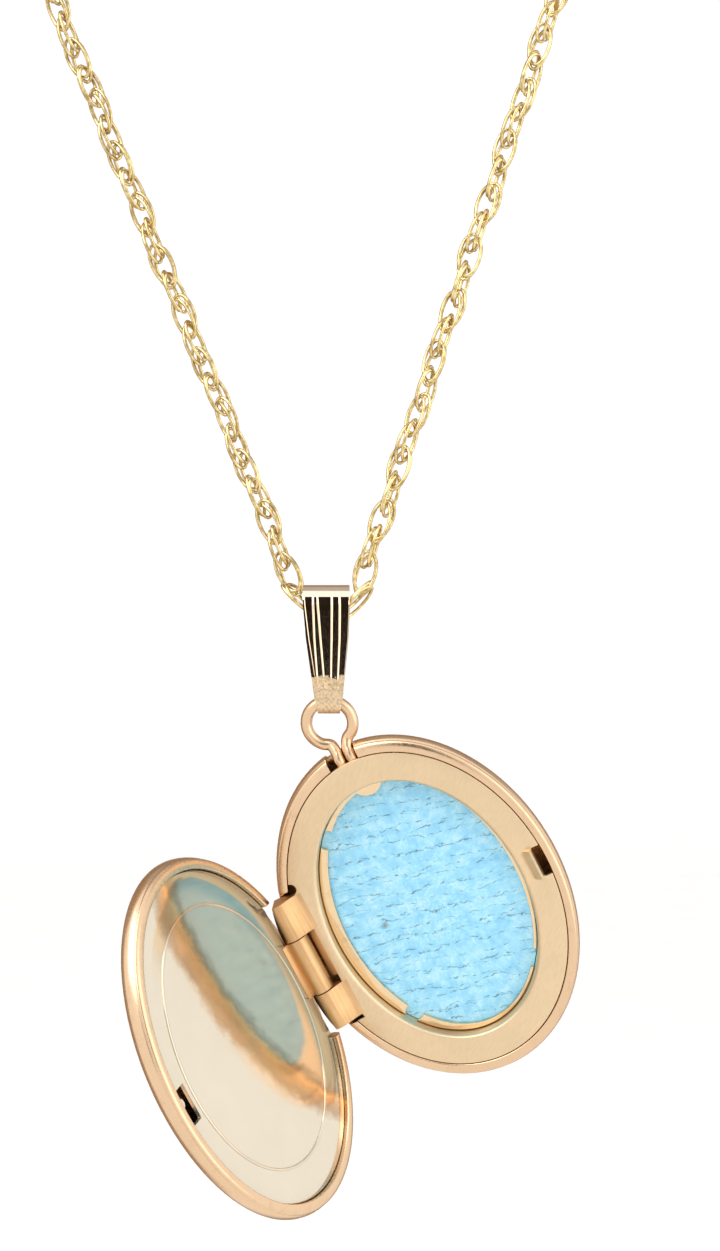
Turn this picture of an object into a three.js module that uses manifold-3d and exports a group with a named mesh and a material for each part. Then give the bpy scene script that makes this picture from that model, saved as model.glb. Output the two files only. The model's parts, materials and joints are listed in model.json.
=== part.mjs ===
// An oval photo locket, hanging open from a fine chain that is wound on a display bar.
// Millimetres, +Z up, the bar's axis along X through the origin, the viewer at -Y.
import * as THREE from 'three';
import { mergeVertices } from 'three/addons/utils/BufferGeometryUtils.js';
import Module from 'manifold-3d';

const wasm = await Module();
wasm.setup();

// ---- Driving dimensions -------------------------------------------------------------------

// The oval case. Each half is drawn in its own frame: X across the oval away from the hinge,
// Y along the oval towards the bail, Z across the mating plane. Depths are measured outwards
// from the mating plane, in which the hinge axis lies.
const HALF_WIDTH = 7.55;
const HALF_HEIGHT = 10;
const OVAL_RATIO = HALF_HEIGHT / HALF_WIDTH;
const WIDEST_DEPTH = 0.75;
const DOME_DEPTH = 1.85;
const SHEET = 0.28;
const SEAM = 6.98;
const LIP_CREST = 0.03;

// The liners, the plates that close each half.
const LINER_SHEET = 0.22;
const LINER_GAP = 0.03;
const BACK_LINER_DEPTH = 0.05;
const FRONT_LINER_DEPTH = 0.3;
const OPENING = { a: 7.48, b: 5.44 };
const PAN_DEPTH = 1.5;
const PAN_FLOOR = 0.2;

// The picture and the ring that holds it down.
const INSERT = { a: 7.4, b: 5.36, top: 1.02, thickness: 0.24 };
const FRAME_RING = { a: 7.44, b: 5.4, width: 0.2, top: 0.76, thickness: 0.22 };
const THUMB_TAB = { x: 0.28, y: 7.86, radius: 0.85 };

// The hinge.
const HINGE_X = -7.08;
const KNUCKLE_RADIUS = 0.65;
const PIN_RADIUS = 0.25;
const PIN_BORE = 0.3;
const MIDDLE_HALF = 1.65;
const KNUCKLE_END = 3.82;
const KNUCKLE_GAP = 0.04;
const RIM_CUT_HALF = 4.2;
const RIM_CUT_DEPTH = 0.95;

// The catch: a tongue bent up from the back liner, and the slot that takes it.
const TONGUE = { x: 6.08, y0: -0.75, y1: 0.8, height: 0.62 };
const CATCH_SLOT = { x0: 5.98, x1: 6.74, y0: -0.95, y1: 1.1 };

// The wire loop on the case, and the bail it hangs in.
const LOOP_X = -0.13;
const LOOP_Y = 11.4;
const LOOP_RADIUS = 1.22;
const LOOP_WIRE = 0.31;
const LEG_SPREAD = 0.41;
const BAIL = { eye: 0.95, curl: 0.42, sheet: 0.25, topHalf: 1.23, waistHalf: 1.13, bottomHalf: 0.6 };

// The chain and the way it hangs.
const CHAIN_DIAMETER = 1.35;
const COIL_RADIUS = 8.1;
const COIL_TURNS = 3;
const COIL_PITCH = 1.4;
const FRONT_Y = -COIL_RADIUS;
const LEFT_COIL_X = -22.2;
const RIGHT_COIL_X = 18.2;
const EYE_Z = -43.68;

// Inside the bail each strand lies low and bends up round its edge: how far out, and how high
// above the lowest point. Its straight run is given by its place at one height and its angle
// from the vertical.
const CHAIN_LOW_Z = -44;
const STRAND_FOOT = [[0.15, 0], [0.95, 0.08], [1.6, 0.5], [1.98, 1.3]];
const RUN_Z = -40.92;
const RUN_LOW_Z = -41.2;
const RUN_TOP_Z = -7;
const LEFT_RUN = { x: 2.45, slope: 22.3 };
const RIGHT_RUN = { x: 2.13, slope: 18.5 };

const LOOP_TOP_Z = -48.53;
const LEFT_END_X = -4.6;
const RIGHT_END_X = 3.4;

// How the open locket hangs: roll in its own plane, lean of its face, turn about the vertical,
// and how far the front half stands open.
const ROLL = 25.6;
const LEAN = 15.5;
const TURN = -4.2;
const OPENING_ANGLE = 112.4;

// ---- Materials ----------------------------------------------------------------------------

const metal = (color, roughness) => new THREE.MeshStandardMaterial({ color, roughness, metalness: 1 });
const polishedGold = metal(0xe6b98a, 0.18);
const satinGold = metal(0xe8c79c, 0.34);
const paleGold = metal(0xe6d8bd, 0.14);
const chainGold = metal(0xf0c14e, 0.2);
const springSteel = metal(0xb9b7b0, 0.35);
const bluePaper = new THREE.MeshStandardMaterial({ color: 0x9cd6f5, roughness: 0.75, metalness: 0 });

// ---- Solid helpers ------------------------------------------------------------------------

const rad = THREE.MathUtils.degToRad;

function signedVolume(positions, index) {
  const [a, b, c] = [new THREE.Vector3(), new THREE.Vector3(), new THREE.Vector3()];
  let total = 0;
  for (let i = 0; i < index.length; i += 3) {
    a.fromArray(positions, 3 * index[i]);
    b.fromArray(positions, 3 * index[i + 1]);
    c.fromArray(positions, 3 * index[i + 2]);
    total += a.dot(b.cross(c));
  }
  return total;
}

// A three.js geometry as a closed solid, whichever way round its faces were made.
function solid(geometry) {
  const bare = geometry.clone();
  bare.deleteAttribute('normal');
  bare.deleteAttribute('uv');
  const merged = mergeVertices(bare, 1e-4);
  const source = merged.index.array;
  const kept = [];
  for (let i = 0; i < source.length; i += 3) {
    const [a, b, c] = [source[i], source[i + 1], source[i + 2]];
    if (a !== b && b !== c && c !== a) kept.push(a, b, c);
  }
  const positions = Float32Array.from(merged.attributes.position.array);
  if (signedVolume(positions, kept) < 0) kept.reverse();
  const mesh = new wasm.Mesh({ numProp: 3, vertProperties: positions, triVerts: Uint32Array.from(kept) });
  return new wasm.Manifold(mesh);
}

function geometryOf(body) {
  const mesh = body.getMesh();
  const geometry = new THREE.BufferGeometry();
  geometry.setAttribute('position', new THREE.BufferAttribute(new Float32Array(mesh.vertProperties), 3));
  geometry.setIndex(Array.from(mesh.triVerts));
  geometry.computeVertexNormals();
  return geometry;
}

function node(name, body, material) {
  const mesh = new THREE.Mesh(geometryOf(body), material);
  mesh.name = name;
  return mesh;
}

function box(x0, x1, y0, y1, z0, z1) {
  const shape = new THREE.BoxGeometry(x1 - x0, y1 - y0, z1 - z0);
  shape.translate((x0 + x1) / 2, (y0 + y1) / 2, (z0 + z1) / 2);
  return solid(shape);
}

function ovalShape(a, b) {
  const shape = new THREE.Shape();
  shape.absellipse(0, 0, b, a, 0, 2 * Math.PI);
  return shape;
}

// A flat oval from one Z to another.
function ovalPlate(a, b, z0, z1) {
  const [low, high] = [Math.min(z0, z1), Math.max(z0, z1)];
  const settings = { depth: high - low, bevelEnabled: false, curveSegments: 28 };
  return solid(new THREE.ExtrudeGeometry(ovalShape(a, b), settings).translate(0, 0, low));
}

// A profile of [across, depth] points turned about Z and stretched to the oval.
function ovalTurned(profile, side) {
  const points = profile.map(([across, depth]) => new THREE.Vector2(across, side * depth));
  const turned = new THREE.LatheGeometry(points, 56);
  return solid(turned.rotateX(Math.PI / 2).scale(1, OVAL_RATIO, 1));
}

// A rod along Y, the direction of the hinge.
function rodAlongY(x, radius, y0, y1, sides = 32) {
  const rod = new THREE.CylinderGeometry(radius, radius, y1 - y0, sides);
  return solid(rod.translate(x, (y0 + y1) / 2, 0));
}

// A round section, or a ring section with a bore, swept along a curve.
function swept(curve, radius, steps, sides, bore = 0) {
  const section = new THREE.Shape();
  section.absarc(0, 0, radius, 0, 2 * Math.PI);
  if (bore > 0) section.holes.push(new THREE.Path().absarc(0, 0, bore, 0, 2 * Math.PI, true));
  const settings = { steps, extrudePath: curve, curveSegments: sides / 2, bevelEnabled: false };
  return solid(new THREE.ExtrudeGeometry(section, settings));
}

// A closed outline in the plane of X and Z, extruded along Y.
function slabAlongY(points, y0, y1) {
  const shape = new THREE.Shape(points.map(([x, z]) => new THREE.Vector2(x, z)));
  const slab = new THREE.ExtrudeGeometry(shape, { depth: y1 - y0, bevelEnabled: false });
  return solid(slab.rotateX(Math.PI / 2).translate(0, y1, 0));
}

// ---- The two domed shells -----------------------------------------------------------------

function domeProfile(inset) {
  const points = [];
  for (let step = 0; step <= 7; step += 1) {
    const angle = (step / 7) * (Math.PI / 2);
    const across = step === 7 ? 0 : (HALF_WIDTH - inset) * Math.cos(angle);
    points.push([across, WIDEST_DEPTH + (DOME_DEPTH - inset) * Math.sin(angle)]);
  }
  return points;
}

// One shell: a rolled lip round the liner, a bulged side and a dome, cut away at the hinge.
function shell(side, linerDepth) {
  const seamFloor = linerDepth + LINER_SHEET + LINER_GAP;
  const lip = [[SEAM, seamFloor], [SEAM, LIP_CREST + 0.05], [SEAM + 0.14, LIP_CREST], [7.4, 0.28]];
  const outer = domeProfile(0);
  const inner = domeProfile(SHEET).reverse();
  const profile = [...lip, ...outer, ...inner, lip[0]];
  const cut = box(-9, -6.1, -RIM_CUT_HALF, RIM_CUT_HALF, -1, RIM_CUT_DEPTH);
  const hingeCut = side > 0 ? cut : box(-9, -6.1, -RIM_CUT_HALF, RIM_CUT_HALF, -RIM_CUT_DEPTH, 1);
  return ovalTurned(profile, side).subtract(hingeCut);
}

function backShell() {
  const loopCut = box(LOOP_X - 1.05, LOOP_X + 1.05, 8.6, 11, -1.25, 1);
  return shell(-1, BACK_LINER_DEPTH).subtract(loopCut);
}

// ---- The liners ---------------------------------------------------------------------------

// A rolled knuckle: a tube round the pin, trimmed to the oval's outline at its outer end.
function knuckle(y0, y1) {
  const trim = ovalPlate(HALF_HEIGHT + 0.3, HALF_WIDTH + 0.3, -1, 1);
  return rodAlongY(HINGE_X, KNUCKLE_RADIUS, y0, y1).intersect(trim);
}

function pinBore() {
  return rodAlongY(HINGE_X, PIN_BORE, -5, 5, 24);
}

// The catch tongue, a strip that ramps up from the liner and stands over the catch hole.
function catchTongue() {
  const { x, y0, y1, height } = TONGUE;
  const face = -BACK_LINER_DEPTH;
  const outline = [
    [x, face - 0.1], [x, face], [x + 0.2, face + 0.07], [x + 0.3, height],
    [x + 0.5, height + 0.04], [x + 0.44, face - 0.1],
  ];
  return slabAlongY(outline, y0, y1);
}

function backLiner() {
  const face = -BACK_LINER_DEPTH;
  const under = face - LINER_SHEET;
  const plate = ovalPlate((SEAM - LINER_GAP) * OVAL_RATIO, SEAM - LINER_GAP, under, face);
  const pan = ovalPlate(OPENING.a + SHEET - 0.06, OPENING.b + SHEET - 0.06, -PAN_DEPTH, face);
  const recess = ovalPlate(OPENING.a, OPENING.b, -PAN_DEPTH + PAN_FLOOR, 1);
  const ramp = [[-5.95, under], [-5.95, face], [-6.7, 0.5], [-7, 0.5], [-7, under]];
  const knuckles = [[MIDDLE_HALF + KNUCKLE_GAP, KNUCKLE_END], [-KNUCKLE_END, -MIDDLE_HALF - KNUCKLE_GAP]]
    .map(([y0, y1]) => knuckle(y0, y1).add(slabAlongY(ramp, y0, y1)));
  const middleSlot = box(-8, -6.02, -MIDDLE_HALF - KNUCKLE_GAP, MIDDLE_HALF + KNUCKLE_GAP, -1, 1);
  const ledge = box(-6.38, -5.95, -1.15, MIDDLE_HALF, under - 0.2, under + 0.02);
  const catchHole = box(TONGUE.x + 0.44, 7.2, -0.85, 0.85, -1, 0);
  const upperNotch = new THREE.CylinderGeometry(0.36, 0.36, 2, 20).rotateX(Math.PI / 2);
  const lowerNotch = box(-7.6, -5.8, -4.1, -KNUCKLE_END - 0.02, -1, 1);
  return plate.add(pan).subtract(recess).add(knuckles[0]).add(knuckles[1])
    .subtract(middleSlot).add(ledge)
    .subtract(solid(upperNotch.translate(-6.1, 4.2, 0)))
    .subtract(box(-7.6, -6.1, KNUCKLE_END + 0.02, 4.5, -1, 1))
    .subtract(lowerNotch).subtract(catchHole).add(catchTongue()).subtract(pinBore());
}

// The raised oval line on the front liner's plate.
function beadOval(face) {
  const ridge = ovalPlate(7.26, 5.66, face - 0.09, face + 0.05);
  return ridge.subtract(ovalPlate(7.12, 5.52, face - 1, face + 1));
}

function frontLiner() {
  const face = FRONT_LINER_DEPTH;
  const plate = ovalPlate((SEAM - LINER_GAP) * OVAL_RATIO, SEAM - LINER_GAP, face, face + LINER_SHEET);
  const strip = box(-6.85, -6, -MIDDLE_HALF, MIDDLE_HALF, face, face + LINER_SHEET);
  const middle = rodAlongY(HINGE_X, KNUCKLE_RADIUS, -MIDDLE_HALF, MIDDLE_HALF);
  const slot = box(CATCH_SLOT.x0, CATCH_SLOT.x1, CATCH_SLOT.y0, CATCH_SLOT.y1, -1, 1);
  const lug = new THREE.CylinderGeometry(0.28, 0.28, LINER_SHEET, 20).rotateX(Math.PI / 2);
  lug.translate(CATCH_SLOT.x1 + 0.06, 0.35, face + LINER_SHEET / 2);
  const slotLug = solid(lug).intersect(plate);
  let body = plate.subtract(slot).add(slotLug).add(beadOval(face));
  for (const [y0, y1] of [[MIDDLE_HALF, RIM_CUT_HALF], [-RIM_CUT_HALF, -MIDDLE_HALF]]) {
    body = body.subtract(box(-8, -6.26, y0, y1, -1, 1));
  }
  return body.add(strip).add(middle).subtract(pinBore());
}

// ---- The picture and its ring -------------------------------------------------------------

function photoInsert() {
  return ovalPlate(INSERT.a, INSERT.b, -INSERT.top, -INSERT.top - INSERT.thickness);
}

// A thin oval ring with a thumb tab by the bail and four notches for a fingernail or pick.
function photoFrame() {
  const { a, b, width, top, thickness } = FRAME_RING;
  const [low, high] = [-top - thickness, -top];
  const tab = new THREE.CylinderGeometry(THUMB_TAB.radius, THUMB_TAB.radius, thickness, 32);
  tab.rotateX(Math.PI / 2).translate(THUMB_TAB.x, THUMB_TAB.y, (low + high) / 2);
  const tabInside = solid(tab).intersect(ovalPlate(a, b, low - 1, high + 1));
  let ring = ovalPlate(a, b, low, high).subtract(ovalPlate(a - width, b - width, low - 1, high + 1));
  for (const [x, y] of [[-3.9, 5.1], [-3.9, -5.1], [3.9, -5.1], [3.9, 5.1]]) {
    const notch = new THREE.CylinderGeometry(0.42, 0.42, 2, 16).rotateX(Math.PI / 2);
    const toCentre = 1 - 0.5 / Math.hypot(x, y);
    ring = ring.subtract(solid(notch.translate(x * toCentre, y * toCentre, -top)));
  }
  return ring.add(tabInside);
}

// ---- The hinge pin and the hanger loop ----------------------------------------------------

function hingePin() {
  return rodAlongY(HINGE_X, PIN_RADIUS, -KNUCKLE_END + 0.45, KNUCKLE_END - 0.45, 20);
}

// Wire bent to an open ring with two legs that spread inside the case.
function hangerLoop() {
  const depth = -WIDEST_DEPTH;
  const neckAngle = Math.asin((LEG_SPREAD + 0.08) / LOOP_RADIUS);
  const points = [[-0.82, 8.95], [-0.6, 9.5], [-LEG_SPREAD, 9.95]];
  for (let step = 0; step <= 16; step += 1) {
    const angle = -Math.PI / 2 - neckAngle - (step / 16) * (2 * Math.PI - 2 * neckAngle);
    points.push([LOOP_RADIUS * Math.cos(angle), LOOP_Y + LOOP_RADIUS * Math.sin(angle)]);
  }
  points.push([LEG_SPREAD, 9.95], [0.6, 9.5], [0.82, 8.95]);
  const curve = new THREE.CatmullRomCurve3(points.map(([x, y]) => new THREE.Vector3(LOOP_X + x, y, depth)));
  return swept(curve, LOOP_WIRE, 40, 8);
}

// ---- The bail -----------------------------------------------------------------------------

// Outline round two circles on one upright line, the larger one on top.
function taperedLoop(topZ, topRadius, bottomZ, bottomRadius) {
  const lean = Math.asin((topRadius - bottomRadius) / (topZ - bottomZ));
  const shape = new THREE.Shape();
  shape.absarc(FRONT_Y, topZ, topRadius, -lean, Math.PI + lean, false);
  shape.absarc(FRONT_Y, bottomZ, bottomRadius, Math.PI + lean, 2 * Math.PI - lean, false);
  shape.closePath();
  return shape;
}

function alongX(shape, half) {
  const slab = new THREE.ExtrudeGeometry(shape, { depth: 2 * half, bevelEnabled: false, curveSegments: 20 });
  slab.translate(0, 0, -half);
  // the shape's plane of (x, y) becomes (y, z), and its depth becomes x
  slab.applyMatrix4(new THREE.Matrix4().makeBasis(
    new THREE.Vector3(0, 1, 0), new THREE.Vector3(0, 0, 1), new THREE.Vector3(1, 0, 0)));
  return solid(slab);
}

// A folded leaf: round eye on top for the chain, both sides tapering to a curl round the loop.
function bail() {
  const { eye, curl, sheet, topHalf, waistHalf, bottomHalf } = BAIL;
  const outside = alongX(taperedLoop(EYE_Z, eye + sheet, LOOP_TOP_Z, curl + sheet), topHalf);
  const inside = alongX(taperedLoop(EYE_Z, eye, LOOP_TOP_Z + 1.1, curl * 0.6), topHalf + 1);
  const curlBore = new THREE.Shape();
  curlBore.absarc(FRONT_Y, LOOP_TOP_Z, curl, 0, 2 * Math.PI);
  const [top, waist, bottom] = [EYE_Z + 2, EYE_Z - 1.6, LOOP_TOP_Z - 1];
  const front = new THREE.Shape([
    [-topHalf, top], [-topHalf, EYE_Z], [-waistHalf, waist], [-bottomHalf, LOOP_TOP_Z], [-bottomHalf, bottom],
    [bottomHalf, bottom], [bottomHalf, LOOP_TOP_Z], [waistHalf, waist], [topHalf, EYE_Z], [topHalf, top],
  ].map(([x, z]) => new THREE.Vector2(x, z)));
  const taper = new THREE.ExtrudeGeometry(front, { depth: 6, bevelEnabled: false });
  taper.rotateX(Math.PI / 2).translate(0, FRONT_Y + 3, 0);
  return outside.subtract(inside).subtract(alongX(curlBore, topHalf + 1)).intersect(solid(taper));
}

// ---- The chain ----------------------------------------------------------------------------

// Hand-set points of one side's hanging strand, on the side given by sign: its foot in the
// bail's eye, its straight run, and the way over to its coil at coilX.
function strandPoints(sign, run, coilX) {
  const points = STRAND_FOOT.map(([x, rise]) => [sign * x, CHAIN_LOW_Z + rise]);
  for (let step = 0; step <= 7; step += 1) {
    const z = RUN_LOW_Z + (step / 7) * (RUN_TOP_Z - RUN_LOW_Z);
    points.push([sign * (run.x + (z - RUN_Z) * Math.tan(rad(run.slope))), z]);
  }
  const [lastX] = points[points.length - 1];
  points.push([lastX + (coilX - lastX) * 0.62, -3.6], [coilX - (coilX - lastX) * 0.05, -1.5], [coilX, 0.2]);
  return points.map(([x, z]) => new THREE.Vector3(x, FRONT_Y, z));
}

// The strand stops against the outside of the coil that it runs into.
function strand(sign, run, coilX) {
  const curve = new THREE.CatmullRomCurve3(strandPoints(sign, run, coilX), false, 'centripetal');
  const points = curve.getPoints(60).filter((point) => point.z < -1.2);
  const tube = swept(new THREE.CatmullRomCurve3(points), CHAIN_DIAMETER / 2, 70, 8);
  return tube.subtract(coil(sign, coilX, 0.06));
}

// The turns of one side, as one ring round the bar, with room round it where asked.
function coil(sign, coilX, room = 0) {
  const half = CHAIN_DIAMETER / 2 + room;
  const [inner, outer] = [COIL_RADIUS - half, COIL_RADIUS + half];
  const near = coilX - sign * (COIL_TURNS * COIL_PITCH + half);
  const far = coilX + sign * half;
  const profile = [[inner, near], [outer, near], [outer, far], [inner, far], [inner, near]];
  const ring = new THREE.LatheGeometry(profile.map(([r, y]) => new THREE.Vector2(r, y)), 40);
  return solid(ring.rotateZ(-Math.PI / 2));
}

// From the coil's inner end at the front, up and over to the clasp on top of the bar.
function crossover(sign, coilX, endX) {
  const startX = coilX - sign * (COIL_TURNS * COIL_PITCH + CHAIN_DIAMETER + 0.35);
  const points = [];
  for (let step = 0; step <= 10; step += 1) {
    const share = step / 10;
    const angle = rad(12) + share * rad(78);
    const x = startX + (endX - startX) * (share ** 1.25);
    points.push(new THREE.Vector3(x, -COIL_RADIUS * Math.cos(angle), COIL_RADIUS * Math.sin(angle)));
  }
  return swept(new THREE.CatmullRomCurve3(points), CHAIN_DIAMETER / 2, 12, 8);
}

// ---- The clasp, lying flat on top of the bar ----------------------------------------------

const CLASP = { radius: 2.1, wall: 0.55, bore: 0.36, bolt: 0.31, z: COIL_RADIUS + 0.1 };

function arc(radius, fromDegrees, toDegrees, z) {
  const points = [];
  for (let step = 0; step <= 18; step += 1) {
    const angle = rad(fromDegrees + (step / 18) * (toDegrees - fromDegrees));
    points.push(new THREE.Vector3(radius * Math.cos(angle), radius * Math.sin(angle), z));
  }
  return new THREE.CatmullRomCurve3(points);
}

// The hollow ring of the clasp, open from 20 to 64 degrees, with an eye for its jump ring.
function claspBody() {
  const { radius, wall, bore, z } = CLASP;
  let body = swept(arc(radius, 64, 380, z), wall, 26, 10, bore);
  for (let angle = 72; angle <= 116; angle += 6) {
    const cutter = box(radius, radius + 1.2, -0.24, 0.24, z - 0.16, z + 0.16);
    body = body.subtract(cutter.rotate([0, 0, angle]));
  }
  const eye = new THREE.TorusGeometry(0.5, 0.17, 6, 18).translate(-radius - wall - 0.42, 0, z);
  return body.add(solid(eye));
}

// The sliding bolt that closes the opening, with its thumb peg.
function claspBolt() {
  const { radius, bolt, z } = CLASP;
  const rod = swept(arc(radius, 21, 78, z), bolt, 10, 8);
  const peg = new THREE.CylinderGeometry(0.12, 0.12, 1.2, 12).rotateZ(Math.PI / 2);
  return rod.add(solid(peg.translate(radius + 0.6, 0, z)).rotate([0, 0, 74]));
}

// The spring behind the bolt, at its pressed length.
function claspSpring() {
  const { radius, bolt, z } = CLASP;
  return swept(arc(radius, 130, 200, z), bolt - 0.03, 10, 8, 0.14);
}

function jumpRing(x, radius, wire) {
  const ring = new THREE.TorusGeometry(radius, wire, 6, 22).rotateX(Math.PI / 2);
  return solid(ring.translate(x, 0, CLASP.z));
}

// ---- Assembly -----------------------------------------------------------------------------

function hangingTurn() {
  const axisX = new THREE.Vector3(1, 0, 0);
  const axisZ = new THREE.Vector3(0, 0, 1);
  const turn = new THREE.Quaternion().setFromAxisAngle(axisZ, rad(TURN));
  turn.multiply(new THREE.Quaternion().setFromAxisAngle(axisX, rad(90 + LEAN)));
  return turn.multiply(new THREE.Quaternion().setFromAxisAngle(axisZ, rad(ROLL)));
}

function frontHalf() {
  const half = new THREE.Group();
  half.add(node('front_shell', shell(1, FRONT_LINER_DEPTH), polishedGold));
  half.add(node('front_liner', frontLiner(), paleGold));
  half.position.set(-HINGE_X, 0, 0);
  const swing = new THREE.Group();
  swing.add(half);
  swing.position.set(HINGE_X, 0, 0);
  swing.rotation.y = -rad(OPENING_ANGLE);
  return swing;
}

function openLocket() {
  const locket = new THREE.Group();
  locket.quaternion.copy(hangingTurn());
  // the loop's wire is highest where the loop's plane is steepest, and hangs there in the curl
  const up = new THREE.Vector3(0, 0, 1).applyQuaternion(locket.quaternion.clone().invert());
  const steepest = new THREE.Vector3(up.x, up.y, 0).normalize().multiplyScalar(LOOP_RADIUS);
  const wireTop = new THREE.Vector3(LOOP_X, LOOP_Y, -WIDEST_DEPTH).add(steepest);
  locket.position.set(0, FRONT_Y, LOOP_TOP_Z).sub(wireTop.applyQuaternion(locket.quaternion));
  locket.add(node('back_shell', backShell(), polishedGold));
  locket.add(node('back_liner', backLiner(), satinGold));
  locket.add(node('photo_insert', photoInsert(), bluePaper));
  locket.add(node('photo_frame', photoFrame(), paleGold));
  locket.add(node('hinge_pin', hingePin(), satinGold));
  locket.add(node('hanger_loop', hangerLoop(), polishedGold));
  locket.add(frontHalf());
  return locket;
}

function necklaceChain() {
  const chain = new THREE.Group();
  chain.add(node('chain_left_strand', strand(-1, LEFT_RUN, LEFT_COIL_X), chainGold));
  chain.add(node('chain_right_strand', strand(1, RIGHT_RUN, RIGHT_COIL_X), chainGold));
  chain.add(node('chain_left_coil', coil(-1, LEFT_COIL_X), chainGold));
  chain.add(node('chain_right_coil', coil(1, RIGHT_COIL_X), chainGold));
  chain.add(node('chain_left_end', crossover(-1, LEFT_COIL_X, LEFT_END_X), chainGold));
  chain.add(node('chain_right_end', crossover(1, RIGHT_COIL_X, RIGHT_END_X), chainGold));
  return chain;
}

function clasp() {
  const group = new THREE.Group();
  group.add(node('clasp_body', claspBody(), chainGold));
  group.add(node('clasp_bolt', claspBolt(), chainGold));
  group.add(node('clasp_spring', claspSpring(), springSteel));
  group.add(node('clasp_jump_ring', jumpRing(-3.68, 0.55, 0.16), chainGold));
  group.add(node('chain_end_ring', jumpRing(2.2, 0.85, 0.17), chainGold));
  return group;
}

const necklace = new THREE.Group();
necklace.add(openLocket(), node('bail', bail(), paleGold), necklaceChain(), clasp());

export default necklace;
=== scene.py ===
# An open oval photo locket on a fine rope chain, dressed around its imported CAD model.
# Shapes are drawn in millimetres in the frame of the half they belong to, and placed in metres.
import json
import math
import random

import bmesh
import bpy
from mathutils import Matrix, Vector, noise


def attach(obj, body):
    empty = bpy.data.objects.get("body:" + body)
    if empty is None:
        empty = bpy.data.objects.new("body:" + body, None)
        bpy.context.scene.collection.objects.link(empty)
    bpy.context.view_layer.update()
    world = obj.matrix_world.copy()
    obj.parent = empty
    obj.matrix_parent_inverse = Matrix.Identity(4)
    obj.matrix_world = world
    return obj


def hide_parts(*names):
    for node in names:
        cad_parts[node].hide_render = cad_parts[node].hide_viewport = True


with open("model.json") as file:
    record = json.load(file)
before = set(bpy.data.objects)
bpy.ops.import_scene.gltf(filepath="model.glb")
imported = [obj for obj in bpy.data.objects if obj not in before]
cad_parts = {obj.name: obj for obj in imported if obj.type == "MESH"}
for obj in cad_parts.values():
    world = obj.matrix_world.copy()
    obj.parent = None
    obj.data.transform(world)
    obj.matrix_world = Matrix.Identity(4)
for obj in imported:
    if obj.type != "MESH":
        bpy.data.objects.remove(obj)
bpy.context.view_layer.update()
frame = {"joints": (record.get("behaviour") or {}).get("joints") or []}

MM = 0.001
JOINTS = {joint["name"]: joint for joint in frame["joints"]}
random.seed(20)

# ---- Driving dimensions, the same as the CAD model's

HALF_WIDTH = 7.55
HALF_HEIGHT = 10.0
OVAL_RATIO = HALF_HEIGHT / HALF_WIDTH
WIDEST_DEPTH = 0.75
DOME_DEPTH = 1.85
SHEET = 0.28
SEAM = 6.98
LINER_SHEET = 0.22
BACK_LINER_DEPTH = 0.05
FRONT_LINER_DEPTH = 0.3
HINGE_X = -7.08
KNUCKLE_RADIUS = 0.65
MIDDLE_HALF = 1.62
KNUCKLE_END = 3.82
LOOP_X = -0.13
LOOP_Y = 11.4
LOOP_RADIUS = 1.22
LOOP_WIRE = 0.31

CHAIN_DIAMETER = 1.35
COIL_RADIUS = 8.1
COIL_TURNS = 3
COIL_PITCH = 1.4
FRONT_Y = -COIL_RADIUS
LEFT_COIL_X = -22.2
RIGHT_COIL_X = 18.2
CHAIN_LOW_Z = -43.65
STRAND_FOOT = ((0.15, 0), (0.95, 0.08), (1.5, 0.45), (1.88, 1.15))
RUN_Z = -40.92
RUN_LOW_Z = -41.2
RUN_TOP_Z = -7
LEFT_RUN = (2.45, 22.3)
RIGHT_RUN = (2.13, 18.5)
LEFT_END_X = -4.6
RIGHT_END_X = 3.4

SEGMENTS = 224


# ---- The frames of the two halves


def case_frame():
    """The back half's own frame: X away from the hinge, Y towards the bail, Z out of its face."""
    up = Vector(JOINTS["lid_hinge"]["axis"]).normalized()
    out = Vector(JOINTS["picture_ring_lift"]["axis"])
    out = (out - up * out.dot(up)).normalized()
    across = up.cross(out)
    loop = Vector(JOINTS["locket_tilt"]["pos_m"])
    centre = loop - across * LOOP_X * MM - up * LOOP_Y * MM + out * WIDEST_DEPTH * MM
    turned = Matrix((across, up, out)).transposed().to_4x4()
    return Matrix.Translation(centre) @ turned


def lid_frame(case):
    """The front half drawn closed in the back half's frame, swung open about the hinge."""
    hinge = Vector((HINGE_X * MM, 0, 0))
    opening = math.radians(JOINTS["lid_hinge"]["range_deg"][1])
    swing = Matrix.Rotation(-opening, 4, "Y")
    return case @ Matrix.Translation(hinge) @ swing @ Matrix.Translation(-hinge)


CASE = case_frame()
LID = lid_frame(CASE)
HERE = Matrix.Identity(4)


# ---- Camera, light and floor


def add_item(name, data):
    """An object in the scene that holds a mesh, a camera or a light."""
    item = bpy.data.objects.new(name, data)
    bpy.context.scene.collection.objects.link(item)
    return item


def aim(item, target):
    direction = Vector(target) - item.location
    item.rotation_euler = direction.to_track_quat("-Z", "Y").to_euler()


def add_camera():
    data = bpy.data.cameras.new("camera")
    camera = add_item("camera", data)
    camera.location = (0.00162, -0.13874, -0.0446)
    camera.rotation_euler = (math.radians(90), 0, 0)
    data.lens = 71.94
    data.clip_start = 0.005
    bpy.context.scene.camera = camera


def add_area(name, place, target, size, power):
    data = bpy.data.lights.new(name, "AREA")
    data.shape = "RECTANGLE"
    data.size, data.size_y = size
    data.energy = power
    light = add_item(name, data)
    light.location = place
    light.visible_camera = False
    aim(light, target)


def add_lights():
    middle = (0, -0.008, -0.055)
    add_area("key", (-0.25, -0.35, 0.3), middle, (0.5, 0.5), 1.9)
    add_area("fill", (0.4, -0.25, 0.0), middle, (0.4, 0.5), 0.5)


# ---- Node helpers


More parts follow.
